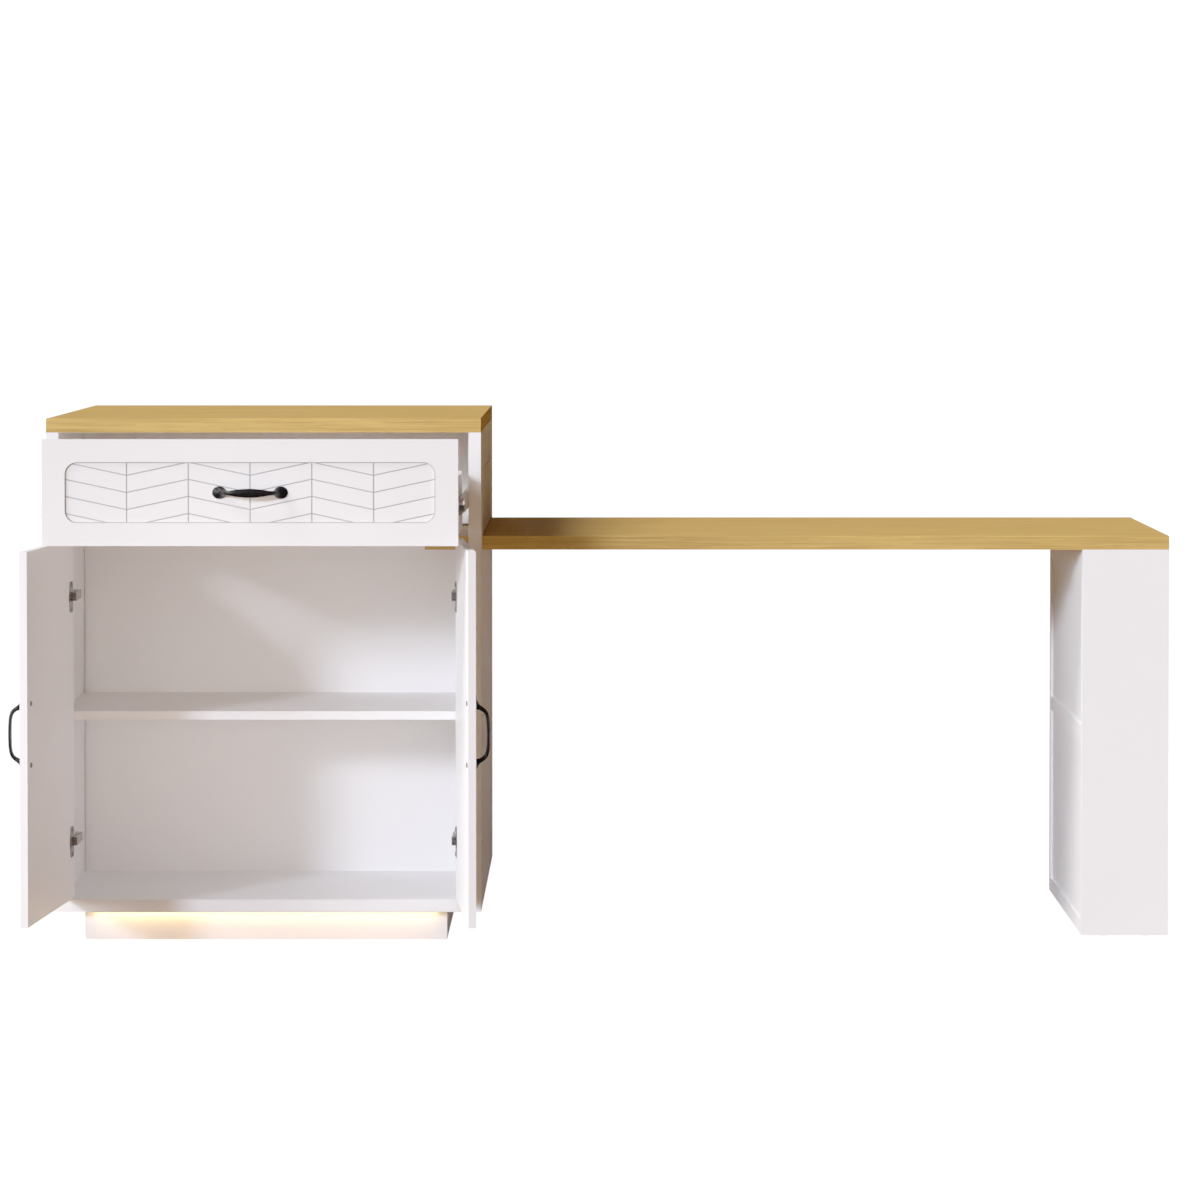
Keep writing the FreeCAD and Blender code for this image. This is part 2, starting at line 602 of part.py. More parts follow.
def hinge_plate(height):
    """Wall plate that carries the arm."""
    y0 = FRONT + PLATE_SETBACK
    half = PLATE_HEIGHT / 2
    plate = box(-WALL, -WALL + PLATE_THICKNESS, y0, y0 + PLATE_LENGTH, height - half, height + half)
    return plate.makeFillet(PLATE_THICKNESS, edges_along(plate, X_AXIS))


def cup_screws(height, diameter, head):
    """Screws, or their holes, of one hinge cup."""
    found = []
    for step in (-1, 1):
        seat = Vector(CUP_X, DOOR_INNER_FACE + CUP_FLANGE_THICKNESS, height + step * CUP_SCREW_SPACING / 2)
        length = seat.y - CUP_FLOOR
        found.append(screw(diameter, length, head, HINGE_SCREW_HEAD_HEIGHT, seat, -Y_AXIS))
    return found


def hinge_pin(height, diameter):
    """Hinge pin across the cup, or its hole."""
    start = Vector(PIVOT_X, PIVOT_Y, height - HINGE_PIN_LENGTH / 2)
    return rod(diameter, start, Z_AXIS, HINGE_PIN_LENGTH)


def hinge_cup(height):
    """Cup let into the back of the door, with a flange on the door's face and a pocket for the arm."""
    depth = DOOR_INNER_FACE - CUP_FLOOR
    body = rod(CUP_DIAMETER - 2 * HOLE_GAP, Vector(CUP_X, CUP_FLOOR, height), Y_AXIS, depth)
    half_width = CUP_FLANGE_WIDTH / 2
    half_height = CUP_FLANGE_HEIGHT / 2
    face = DOOR_INNER_FACE + CUP_FLANGE_THICKNESS
    flange = box(
        CUP_X - half_width, CUP_X + half_width,
        DOOR_INNER_FACE, face,
        height - half_height, height + half_height)
    flange = flange.makeFillet(half_width / 2, edges_along(flange, Y_AXIS))
    half_pocket = ARM_HEIGHT / 2 + POCKET_GAP
    pocket = box(
        PIVOT_X - KNUCKLE_DIAMETER / 2 - POCKET_GAP, PIVOT_X + ARM_CRANK + ARM_THICKNESS + POCKET_GAP,
        CUP_FLOOR + CUP_WALL, face,
        height - half_pocket, height + half_pocket)
    hole = HINGE_SCREW_DIAMETER + 2 * HOLE_GAP
    pin_hole = hinge_pin(height, HINGE_PIN_DIAMETER)
    return body.fuse(flange).removeSplitter().cut([pocket, pin_hole] + cup_screws(height, hole, hole))


def opened(shape):
    """Left door piece swung from closed to the open rest position."""
    return shape.rotated(Vector(PIVOT_X, PIVOT_Y, 0), Z_AXIS, -DOOR_OPEN_ANGLE)


def door_panel(seat):
    """Left door, closed, with bores for its hinge cups and holes for its screws."""
    corner = Vector(DOOR_HINGE_EDGE, FRONT, DOOR_BOTTOM)
    panel = chevron_front(DOOR_WIDTH, DOOR_HEIGHT, DOOR_THICKNESS).translated(corner)
    hole = HINGE_SCREW_DIAMETER + 2 * HOLE_GAP
    depth = DOOR_INNER_FACE - CUP_FLOOR
    tools = [handle_holes(DOOR_THICKNESS).rotated(Vector(0, 0, 0), Y_AXIS, 90).translated(seat)]
    for height in HINGE_HEIGHTS:
        tools.append(rod(CUP_DIAMETER, Vector(CUP_X, CUP_FLOOR, height), Y_AXIS, depth))
        tools += cup_screws(height, hole, hole)
    return panel.cut(tools)


def make_doors():
    """Both doors, open, with their hinges and handles."""
    middle = DOOR_BOTTOM + DOOR_HEIGHT / 2 + HANDLE_ABOVE_DOOR_CENTRE
    seat = Vector(DOOR_HINGE_EDGE + DOOR_WIDTH - HANDLE_EDGE_DISTANCE, FRONT, middle)
    upright_handle = handle().rotated(Vector(0, 0, 0), Y_AXIS, 90).translated(seat)
    upright_screws = handle_screws(DOOR_THICKNESS).rotated(Vector(0, 0, 0), Y_AXIS, 90).translated(seat)
    screws = [s for h in HINGE_HEIGHTS for s in cup_screws(h, HINGE_SCREW_DIAMETER, HINGE_SCREW_HEAD)]
    pieces = {
        "door": [door_panel(seat)],
        "door_handle": [upright_handle],
        "door_handle_screws": [upright_screws],
        "hinge_cups": [hinge_cup(h) for h in HINGE_HEIGHTS],
        "hinge_pins": [hinge_pin(h, HINGE_PIN_DIAMETER) for h in HINGE_HEIGHTS],
        "hinge_cup_screws": screws,
    }
    for name, solids in pieces.items():
        left = [opened(solid) for solid in solids]
        save("left_" + name, *left)
        save("right_" + name, *[mirrored(solid) for solid in left])

    plates = [hinge_plate(h) for h in HINGE_HEIGHTS]
    hole = HINGE_SCREW_DIAMETER + 2 * HOLE_GAP
    plates = [plate.cut(plate_screws(hole, hole)) for plate in plates]
    arms = [hinge_arm(h) for h in HINGE_HEIGHTS]
    fixings = plate_screws(HINGE_SCREW_DIAMETER, HINGE_SCREW_HEAD)
    save("hinge_plates", *[s for plate in plates for s in both_sides(plate)])
    save("hinge_arms", *[s for arm in arms for s in both_sides(arm)])
    save("hinge_plate_screws", *[s for fixing in fixings for s in both_sides(fixing)])


# Table and its leg


def bracket_places():
    """Middle of each bracket along X, and which leg panel it stands on."""
    along = (LEG_START + BRACKET_INSET, TABLE_END - BRACKET_INSET)
    return [(x, side) for x in along for side in (-1, 1)]


def leg_brackets():
    """Steel angles that hold the tabletop to the leg's front and rear panels."""
    found = []
    for x, side in bracket_places():
        x0 = x - BRACKET_WIDTH / 2
        x1 = x + BRACKET_WIDTH / 2
        y1 = LEG_INNER
        z1 = TABLE_BOTTOM
        upright = box(x0, x1, y1 - BRACKET_THICKNESS, y1, z1 - BRACKET_LEG, z1)
        flat = box(x0, x1, y1 - BRACKET_LEG, y1, z1 - BRACKET_THICKNESS, z1)
        angle = upright.fuse(flat).removeSplitter()
        found.append(angle if side > 0 else angle.mirror(Vector(0, 0, 0), Y_AXIS))
    return found


def bracket_screws(diameter, head):
    """Screws, or their holes, of the brackets: one up into the tabletop, one out into the leg panel."""
    found = []
    length = BRACKET_SCREW_LENGTH
    head_height = BRACKET_SCREW_HEAD_HEIGHT
    for x, side in bracket_places():
        up_seat = Vector(x, side * (LEG_INNER - BRACKET_HOLE_DISTANCE), TABLE_BOTTOM - BRACKET_THICKNESS)
        out_seat = Vector(x, side * (LEG_INNER - BRACKET_THICKNESS), TABLE_BOTTOM - BRACKET_HOLE_DISTANCE)
        for seat, direction in ((up_seat, Z_AXIS), (out_seat, Y_AXIS * side)):
            found.append(screw(diameter, length, head, head_height, seat, direction))
    return found


def make_table():
    """Tabletop, the block that stops it, and the shelved leg under its far end."""
    hole = BRACKET_SCREW_DIAMETER + 2 * HOLE_GAP
    holes = bracket_screws(hole, hole)
    top = eased_top(TABLE_INNER_END, TABLE_END, -TABLE_HALF, TABLE_HALF, TABLE_BOTTOM, TABLE_TOP)
    save("tabletop", top.cut(holes))
    stop_end = WALL - STOP_GAP
    stop_front = DIVIDER_REAR + BEARER_WIDTH + STOP_SIDE_GAP
    stop_rear = TABLE_HALF - STOP_SETBACK
    save("stop_block", box(
        stop_end - STOP_LENGTH, stop_end,
        stop_front, stop_rear,
        TABLE_BOTTOM - STOP_HEIGHT, TABLE_BOTTOM))

    front_panel = box(LEG_START, TABLE_END, -TABLE_HALF, -LEG_INNER, LEG_FOOT_HEIGHT, TABLE_BOTTOM)
    rear_panel = front_panel.mirror(Vector(0, 0, 0), Y_AXIS)
    save("leg_front_panel", front_panel.cut(holes))
    save("leg_rear_panel", rear_panel.cut(holes))
    rail_end = LEG_START + LEG_BOARD
    rail_bottom = TABLE_BOTTOM - LEG_RAIL_HEIGHT
    save("leg_top_rail", box(LEG_START, rail_end, -LEG_INNER, LEG_INNER, rail_bottom, TABLE_BOTTOM))
    board_end = TABLE_END - LEG_SHELF_SETBACK
    shelf_bottom = LEG_SHELF_HEIGHT - LEG_SHELF_THICKNESS
    floor_top = LEG_FOOT_HEIGHT + LEG_SHELF_THICKNESS
    save("leg_shelf", box(LEG_START, board_end, -LEG_INNER, LEG_INNER, shelf_bottom, LEG_SHELF_HEIGHT))
    save("leg_bottom_board", box(LEG_START, board_end, -LEG_INNER, LEG_INNER, LEG_FOOT_HEIGHT, floor_top))
    back_start = LEG_START + LEG_BACK_RECESS
    back_end = back_start + LEG_BACK_THICKNESS
    spans = [(floor_top, shelf_bottom), (LEG_SHELF_HEIGHT, rail_bottom)]
    backs = [box(back_start, back_end, -LEG_INNER, LEG_INNER, low, high) for low, high in spans]
    save("leg_back_panels", *backs)
    save("leg_brackets", *[bracket.cut(holes) for bracket in leg_brackets()])
    save("leg_bracket_screws", *bracket_screws(BRACKET_SCREW_DIAMETER, BRACKET_SCREW_HEAD))

    feet = []
    for x in (LEG_START + BRACKET_INSET, TABLE_END - BRACKET_INSET):
        for y in (-TABLE_HALF + LEG_BOARD / 2, TABLE_HALF - LEG_BOARD / 2):
            feet.append(rod(LEG_FOOT_DIAMETER, Vector(x, y, 0), Z_AXIS, LEG_FOOT_HEIGHT))
    save("leg_glides", *feet)


make_carcass()
make_light()
make_runners()
make_drawer()
make_doors()
make_table()
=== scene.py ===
import json
import math

import bmesh
import bpy
import numpy as np
from bpy.props import FloatProperty, FloatVectorProperty, PointerProperty
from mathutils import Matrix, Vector


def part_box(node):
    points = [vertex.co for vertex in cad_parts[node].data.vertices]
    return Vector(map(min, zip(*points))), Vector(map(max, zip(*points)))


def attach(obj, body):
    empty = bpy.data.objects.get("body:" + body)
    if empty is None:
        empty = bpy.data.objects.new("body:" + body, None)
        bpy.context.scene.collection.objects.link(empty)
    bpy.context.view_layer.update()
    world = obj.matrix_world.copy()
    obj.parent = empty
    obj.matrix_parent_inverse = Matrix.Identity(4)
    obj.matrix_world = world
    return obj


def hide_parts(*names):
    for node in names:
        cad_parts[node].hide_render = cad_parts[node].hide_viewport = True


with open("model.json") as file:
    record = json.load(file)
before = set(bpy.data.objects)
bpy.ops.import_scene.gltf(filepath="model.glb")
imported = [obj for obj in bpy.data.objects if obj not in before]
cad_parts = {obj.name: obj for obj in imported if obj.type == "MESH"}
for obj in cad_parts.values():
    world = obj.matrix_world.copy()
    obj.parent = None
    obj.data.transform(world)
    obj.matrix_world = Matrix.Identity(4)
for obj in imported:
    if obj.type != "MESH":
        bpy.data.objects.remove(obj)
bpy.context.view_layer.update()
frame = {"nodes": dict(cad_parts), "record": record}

bl_info = {
    "name": "Kitchen island looks",
    "version": (1, 0, 0),
    "blender": (4, 5, 0),
    "location": "View3D > Sidebar > Island",
    "description": "Finishes, fittings, light and camera for the kitchen island",
    "category": "Object",
}

NODES = frame["nodes"]
JOINTS = {joint["name"]: joint for joint in frame["record"]["behaviour"]["joints"]}

LACQUERED = [
    "bottom_board", "plinth_front", "plinth_rear", "plinth_sides",
    "plinth_bearer", "lower_divider", "upper_divider", "front_shelf", "rear_shelf", "niche_floor",
    "drawer_right_side", "drawer_left_side", "drawer_back", "drawer_bottom",
    "leg_front_panel", "leg_rear_panel", "leg_top_rail", "leg_shelf", "leg_bottom_board",
    "leg_back_panels"]
OAK_TOPS = ["cabinet_top", "tabletop"]
BARE_WOOD = ["carcass_dowels", "table_bearer", "stop_block"]
STEEL = [
    "hinge_plates", "hinge_arms", "left_hinge_cups", "right_hinge_cups", "left_hinge_pins",
    "right_hinge_pins", "leg_brackets", "shelf_pins"]
RUNNERS = ["runner_outer_members", "runner_middle_members", "runner_inner_members"]
NYLON = ["bearer_glide", "sill_glide", "leg_glides"]
# Chevron fronts, the body of each, its handle, and its side: 0 for the drawer, -1 left, 1 right
FRONTS = [
    ("drawer_front", "drawer", "drawer_handle", 0), ("left_door", "left_door", "left_door_handle", -1),
    ("right_door", "right_door", "right_door_handle", 1)]
# Cabinet sides with a grooved frame, and the way each faces
GROOVED_SIDES = [("left_side_panel", (-1.0, 0, 0)), ("right_side_panel", (1.0, 0, 0))]
# Screws: node, body and how many
SCREWS = [
    ("drawer_handle_screws", "drawer", 2), ("left_door_handle_screws", "left_door", 2),
    ("right_door_handle_screws", "right_door", 2), ("left_hinge_cup_screws", "left_door", 4),
    ("right_hinge_cup_screws", "right_door", 4), ("hinge_plate_screws", "carcass", 8),
    ("leg_bracket_screws", "table", 8)]
# Name, direction towards it, width in degrees and colour of each light
SUNS = [
    ("key", (-0.538, -0.797, 0.276), 8, (0.78, 0.83, 1.0)),
    ("left", (-0.816, -0.551, 0.174), 16, (0.85, 0.95, 1.0)),
    ("side", (-0.692, -0.147, 0.707), 30, (0.86, 0.80, 0.80)),
    ("fill", (0.255, -0.951, 0.174), 30, (1.0, 0.60, 0.35)),
    ("rear", (-0.1, 0.994, 0.04), 14, (1.0, 0.90, 0.82)),
]

# Colours of the fittings
PLATED_STEEL = (0.23, 0.21, 0.195)
ANODISED = (0.76, 0.76, 0.77)
WHITE_COAT = (0.72, 0.70, 0.68)
NATURAL_NYLON = (0.78, 0.78, 0.75)
BLACK_PLASTIC = (0.02, 0.02, 0.021)

# The photo's camera, in the photo's pixels: long side, focal length, row of the horizon, and the way from
# the vanishing point's column to the picture's middle; then the sensor's width in millimetres
PHOTO_SIDE = 1203.0
FOCAL_LENGTH = 4285.0
HORIZON_ROW = 267.5
COLUMN_SHIFT = -11.3
SENSOR_WIDTH = 36.0

# Edges sharper than this stay sharp on the modelled pieces
SMOOTH_ANGLE = math.radians(38)


class LacquerFinish(bpy.types.PropertyGroup):
    """White satin lacquer on the boards and fronts"""
    colour: FloatVectorProperty(
        name="Colour", description="Lacquer colour", subtype="COLOR", size=3, min=0, max=1,
        default=(0.965, 0.95, 0.942))
    roughness: FloatProperty(
        name="Roughness", description="Satin sheen of the lacquer", subtype="FACTOR",
        min=0, max=1, default=0.42)
    # Painted shade: the groove floors take the lacquer's colour times this, in place of the shade in the
    # grooves
    groove_shade: FloatProperty(
        name="Groove shade", description="Brightness left on the floors of the grooves", subtype="FACTOR",
        min=0, max=1, default=0.42)
    chevron_depth: FloatProperty(
        name="Chevron depth", description="Depth of the chevron grooves below a front's frame",
        unit="LENGTH", default=0.0048)
    side_depth: FloatProperty(
        name="Side depth", description="Depth of the grooves below a side's face",
        unit="LENGTH", default=0.003)
    peel: FloatProperty(
        name="Orange peel", description="Height of the lacquer's fine ripple",
        unit="LENGTH", default=0.00003)


class OakFinish(bpy.types.PropertyGroup):
    """Honey oak decor on the worktop and the table"""
    light: FloatVectorProperty(
        name="Light grain", description="Colour between the growth lines", subtype="COLOR",
        size=3, min=0, max=1, default=(0.66, 0.385, 0.076))
    dark: FloatVectorProperty(
        name="Dark grain", description="Colour of the growth lines and pores", subtype="COLOR",
        size=3, min=0, max=1, default=(0.38, 0.192, 0.031))
    roughness: FloatProperty(
        name="Roughness", description="Sheen of the decor", subtype="FACTOR", min=0, max=1, default=0.5)


class HandleSizes(bpy.types.PropertyGroup):
    """Bow handles of the drawer and the doors"""
    foot_centre: FloatProperty(
        name="Foot centre", description="Half of the distance between the feet",
        unit="LENGTH", default=0.0525)
    foot_length: FloatProperty(
        name="Foot length", description="Length of a foot on the front", unit="LENGTH", default=0.0244)
    foot_width: FloatProperty(
        name="Foot width", description="Width of a foot on the front", unit="LENGTH", default=0.0216)
    projection: FloatProperty(
        name="Projection", description="How far the grip stands out", unit="LENGTH", default=0.0256)
    grip_width: FloatProperty(
        name="Grip width", description="Width of the grip at its middle", unit="LENGTH", default=0.0156)
    grip_thickness: FloatProperty(
        name="Grip thickness", description="Thickness of the grip at its middle",
        unit="LENGTH", default=0.0054)
    colour: FloatVectorProperty(
        name="Colour", description="Satin black paint", subtype="COLOR", size=3, min=0, max=1,
        default=(0.0012, 0.0011, 0.0011))


class ScrewSizes(bpy.types.PropertyGroup):
    """Pan-head screws with a cross recess"""
    recess_width: FloatProperty(
        name="Recess width", description="Width of the cross as a share of the head's radius",
        subtype="FACTOR", min=0, max=1, default=0.20)
    recess_reach: FloatProperty(
        name="Recess reach", description="Reach of the cross as a share of the head's radius",
        subtype="FACTOR", min=0, max=1, default=0.62)
    recess_depth: FloatProperty(
        name="Recess depth", description="Depth of the cross as a share of the head's height",
        subtype="FACTOR", min=0, max=1, default=0.62)


class LightFinish(bpy.types.PropertyGroup):
    """Lit cover under the bottom board"""
    colour: FloatVectorProperty(
        name="Colour", description="Colour of the light", subtype="COLOR", size=3, min=0, max=1,
        default=(1.0, 0.60, 0.20))
    strength: FloatProperty(
        name="Strength", description="Brightness of the lit cover", min=0, default=13.0)


class StudioSettings(bpy.types.PropertyGroup):
    """Floor, light and camera"""
    floor: FloatVectorProperty(
        name="Floor", description="Colour of the floor and backdrop", subtype="COLOR",
        size=3, min=0, max=1, default=(0.17, 0.17, 0.17))
    floor_glow: FloatProperty(
        name="Floor glow", description="Even light of the floor and backdrop", min=0, default=1.0)
    key: FloatProperty(
        name="Key light", description="Strength of the sharp light from the front left", default=1.61)
    left: FloatProperty(
        name="Left light", description="Strength of the low light from the left", default=1.1)
    side: FloatProperty(
        name="Side light", description="Strength of the light from the upper left", default=3.2)
    fill: FloatProperty(
        name="Fill light", description="Strength of the light beside the camera", default=0.1)
    rear: FloatProperty(
        name="Rear light", description="Strength of the light from behind", default=0.75)
    bay: FloatProperty(
        name="Bay light", description="Power of the light that shines into the open bays", default=32.0)
    sky: FloatVectorProperty(
        name="Surround", description="Colour and brightness of the surround", subtype="COLOR",
        size=3, min=0, max=1, default=(0.020, 0.008, 0.003))
    bounce: FloatVectorProperty(
        name="Bounce", description="Colour of the plane that throws light up from the floor",
        subtype="COLOR", size=3, min=0, max=1, default=(0.35, 0.22, 0.12))
    gamma: FloatProperty(name="Gamma", description="Contrast of the picture", min=0.1, default=1.7)
    tilt: FloatProperty(
        name="Tilt", description="Camera's tilt below level", unit="ROTATION", default=math.radians(1.7))
    station: FloatVectorProperty(
        name="Camera place", description="Where the camera stands", subtype="TRANSLATION", size=3,
        default=(0.616, -7.945, 1.199))


def settings(context):
    """The island's settings, kept on the scene."""
    return context.scene.island_looks


# Materials

def start_material(name):
    """New node material, with its nodes, links and main shader."""
    material = bpy.data.materials.new(name)
    material.use_nodes = True
    nodes = material.node_tree.nodes
    return material, nodes, material.node_tree.links, nodes["Principled BSDF"]


def stretched_noise(nodes, links, source, scale, detail=3.0, roughness=0.55, distortion=0.0):
    """Noise on coordinates stretched by a different number along each axis; gives its factor socket."""
    mapping = nodes.new("ShaderNodeMapping")
    mapping.inputs["Scale"].default_value = scale
    links.new(source, mapping.inputs["Vector"])
    noise = nodes.new("ShaderNodeTexNoise")
    noise.inputs["Scale"].default_value = 1.0
    noise.inputs["Detail"].default_value = detail
    noise.inputs["Roughness"].default_value = roughness
    noise.inputs["Distortion"].default_value = distortion
    links.new(mapping.outputs["Vector"], noise.inputs["Vector"])
    return noise.outputs["Fac"]


def ramp(nodes, links, source, stops):
    """Colour ramp from (place, colour) stops; gives its colour socket."""
    node = nodes.new("ShaderNodeValToRGB")
    elements = node.color_ramp.elements
    while len(elements) < len(stops):
        elements.new(0.5)
    for element, (place, colour) in zip(elements, stops):
        element.position = place
        element.color = (*colour, 1.0)
    links.new(source, node.inputs["Fac"])
    return node.outputs["Color"]


def span(nodes, links, source, low, high, out_low, out_high):
    """Value moved from one span to another, held at its ends."""
    node = nodes.new("ShaderNodeMapRange")
    node.inputs["From Min"].default_value = low
    node.inputs["From Max"].default_value = high
    node.inputs["To Min"].default_value = out_low
    node.inputs["To Max"].default_value = out_high
    links.new(source, node.inputs["Value"])
    return node.outputs["Result"]


def mix_colours(nodes, links, factor, first, second, blend="MIX"):
    """Mix of two colour sockets or plain colours by a factor socket or number."""
    node = nodes.new("ShaderNodeMix")
    node.data_type = "RGBA"
    node.blend_type = blend
    for value, socket in ((factor, node.inputs[0]), (first, node.inputs[6]), (second, node.inputs[7])):
        if isinstance(value, bpy.types.NodeSocket):
            links.new(value, socket)
        elif isinstance(value, (int, float)):
            socket.default_value = value
        else:
            socket.default_value = (*value, 1.0)
    return node.outputs[2]


def add_bump(nodes, links, shader, source, distance, strength=1.0):
    """Fine relief on a shader from a height socket."""
    bump = nodes.new("ShaderNodeBump")
    bump.inputs["Strength"].default_value = strength
    bump.inputs["Distance"].default_value = distance
    links.new(source, bump.inputs["Height"])
    links.new(bump.outputs["Normal"], shader.inputs["Normal"])


def dot_with(nodes, links, source, direction):
    """Length of a vector socket along a direction."""
    node = nodes.new("ShaderNodeVectorMath")
    node.operation = "DOT_PRODUCT"
    node.inputs[1].default_value = direction
    links.new(source, node.inputs[0])
    return node.outputs["Value"]


def product(nodes, links, first, second):
    """Product of two value sockets."""
    node = nodes.new("ShaderNodeMath")
    node.operation = "MULTIPLY"
    links.new(first, node.inputs[0])
    links.new(second, node.inputs[1])
    return node.outputs["Value"]


def object_coordinates(nodes):
    """Socket with the place on the object, in metres."""
    return nodes.new("ShaderNodeTexCoord").outputs["Object"]


def groove_mask(nodes, links, out, floor):
    """One on the floors of a board's grooves, which face out and lie at the floor's level, and zero
    elsewhere."""
    coordinates = nodes.new("ShaderNodeTexCoord")
    level = dot_with(nodes, links, coordinates.outputs["Object"], out)
    facing = dot_with(nodes, links, coordinates.outputs["Normal"], out)
    near, far = 0.0006, 0.0011
    below = span(nodes, links, level, floor + near, floor + far, 1.0, 0.0)
    above = span(nodes, links, level, floor - far, floor - near, 0.0, 1.0)
    flat = span(nodes, links, facing, 0.6, 0.8, 0.0, 1.0)
    return product(nodes, links, product(nodes, links, below, above), flat)


def lacquer_material(finish, name, out=None, floor=0.0):
    """Satin lacquer: one colour with a faint cloud, a fine ripple and a slightly uneven sheen; on a grooved
    board, which faces out, the groove floors at the floor's level get painted shade: a darker copy of the
    lacquer."""
    material, nodes, links, shader = start_material(name)
    place = object_coordinates(nodes)
    cloud = stretched_noise(nodes, links, place, (5, 5, 5), detail=2)
    pale = tuple(min(1.0, c * 1.012) for c in finish.colour)
    deep = tuple(c * 0.985 for c in finish.colour)
    colour = ramp(nodes, links, cloud, [(0.3, deep), (0.7, pale)])
    if out is not None:
        # Painted shade on the groove floors: a darker copy of the lacquer where shade falls in the grooves
        shade = tuple(c * finish.groove_shade for c in finish.colour)
        colour = mix_colours(nodes, links, groove_mask(nodes, links, out, floor), colour, shade)
    links.new(colour, shader.inputs["Base Color"])
    smear = stretched_noise(nodes, links, place, (22, 22, 22), detail=3)
    rough = span(nodes, links, smear, 0.3, 0.7, finish.roughness - 0.04, finish.roughness + 0.05)
    links.new(rough, shader.inputs["Roughness"])
    peel = stretched_noise(nodes, links, place, (420, 420, 420), detail=2)
    add_bump(nodes, links, shader, peel, finish.peel, 0.6)
    shader.inputs["Specular IOR Level"].default_value = 0.35
    return material


def oak_material(finish):
    """Oak decor: long growth lines, fine streaks, finer fibres and short pores along X, and along Y on the
    end faces."""
    material, nodes, links, shader = start_material("oak_decor_finish")
    coordinates = nodes.new("ShaderNodeTexCoord")
    place = coordinates.outputs["Object"]
    facing = nodes.new("ShaderNodeSeparateXYZ")
    links.new(coordinates.outputs["Normal"], facing.inputs["Vector"])
    size = nodes.new("ShaderNodeMath")
    size.operation = "ABSOLUTE"
    links.new(facing.outputs["X"], size.inputs[0])
    is_end = nodes.new("ShaderNodeMath")
    is_end.operation = "GREATER_THAN"
    is_end.inputs[1].default_value = 0.7
    links.new(size.outputs["Value"], is_end.inputs[0])
    turn = nodes.new("ShaderNodeMapping")
    turn.inputs["Rotation"].default_value = (0, 0, math.pi / 2)
    links.new(place, turn.inputs["Vector"])
    along = nodes.new("ShaderNodeMix")
    along.data_type = "VECTOR"
    links.new(is_end.outputs["Value"], along.inputs[0])
    links.new(place, along.inputs[4])
    links.new(turn.outputs["Vector"], along.inputs[5])
    grain = along.outputs[1]

    broad = stretched_noise(nodes, links, grain, (1.1, 11, 11), detail=4, roughness=0.6, distortion=0.5)
    rings = stretched_noise(nodes, links, grain, (2.2, 75, 75), detail=5, roughness=0.62, distortion=0.35)
    streaks = stretched_noise(
        nodes, links, grain, (4, 260, 260), detail=5, roughness=0.68, distortion=0.25)
    fibres = stretched_noise(nodes, links, grain, (9, 420, 420), detail=3, roughness=0.6)
    pores = stretched_noise(nodes, links, grain, (34, 900, 900), detail=2, roughness=0.5)
    middle = tuple((a + b) / 2 for a, b in zip(finish.light, finish.dark))
    growth = [(0.30, middle), (0.47, finish.light), (0.62, finish.light), (0.80, middle)]
    ground = ramp(nodes, links, rings, growth)
    warm = tuple(c * f for c, f in zip(finish.light, (0.97, 0.93, 0.86)))
    ground = mix_colours(nodes, links, span(nodes, links, broad, 0.35, 0.7, 0.0, 0.75), ground, warm)
    streak_shade = span(nodes, links, streaks, 0.45, 0.62, 0.0, 0.95)
    ground = mix_colours(nodes, links, streak_shade, ground, finish.dark)
    fibre_shade = span(nodes, links, fibres, 0.35, 0.72, 0.0, 0.42)
    ground = mix_colours(nodes, links, fibre_shade, ground, finish.dark)
    pore_shade = span(nodes, links, pores, 0.62, 0.75, 0.0, 0.55)
    ground = mix_colours(nodes, links, pore_shade, ground, finish.dark)
    links.new(ground, shader.inputs["Base Color"])
    rough = span(nodes, links, fibres, 0.3, 0.7, finish.roughness - 0.05, finish.roughness + 0.08)
    links.new(rough, shader.inputs["Roughness"])
    add_bump(nodes, links, shader, fibres, 0.00012, 0.5)
    shader.inputs["Specular IOR Level"].default_value = 0.15
    return material


def bare_wood_material():
    """Unfinished softwood with wide pale and narrow dark growth lines along X."""
    material, nodes, links, shader = start_material("bare_wood_finish")
    place = object_coordinates(nodes)
    lines = stretched_noise(nodes, links, place, (2.5, 110, 110), detail=4, distortion=0.4)
    colours = [(0.30, (0.46, 0.29, 0.13)), (0.5, (0.66, 0.47, 0.26)), (0.75, (0.72, 0.55, 0.33))]
    links.new(ramp(nodes, links, lines, colours), shader.inputs["Base Color"])
    add_bump(nodes, links, shader, lines, 0.0002, 0.5)
    shader.inputs["Roughness"].default_value = 0.7
    return material


def black_material(finish):
    """Satin black paint over cast metal: a fine hammered relief and a slightly uneven sheen."""
    material, nodes, links, shader = start_material("black_handle_finish")
    place = object_coordinates(nodes)
    cast = stretched_noise(nodes, links, place, (260, 260, 260), detail=3)
    rubbed = tuple(c * 2.6 for c in finish.colour)
    paint = ramp(nodes, links, cast, [(0.35, finish.colour), (0.8, rubbed)])
    links.new(paint, shader.inputs["Base Color"])
    links.new(span(nodes, links, cast, 0.3, 0.7, 0.24, 0.36), shader.inputs["Roughness"])
    add_bump(nodes, links, shader, cast, 0.00025, 0.7)
    shader.inputs["Specular IOR Level"].default_value = 0.09
    return material


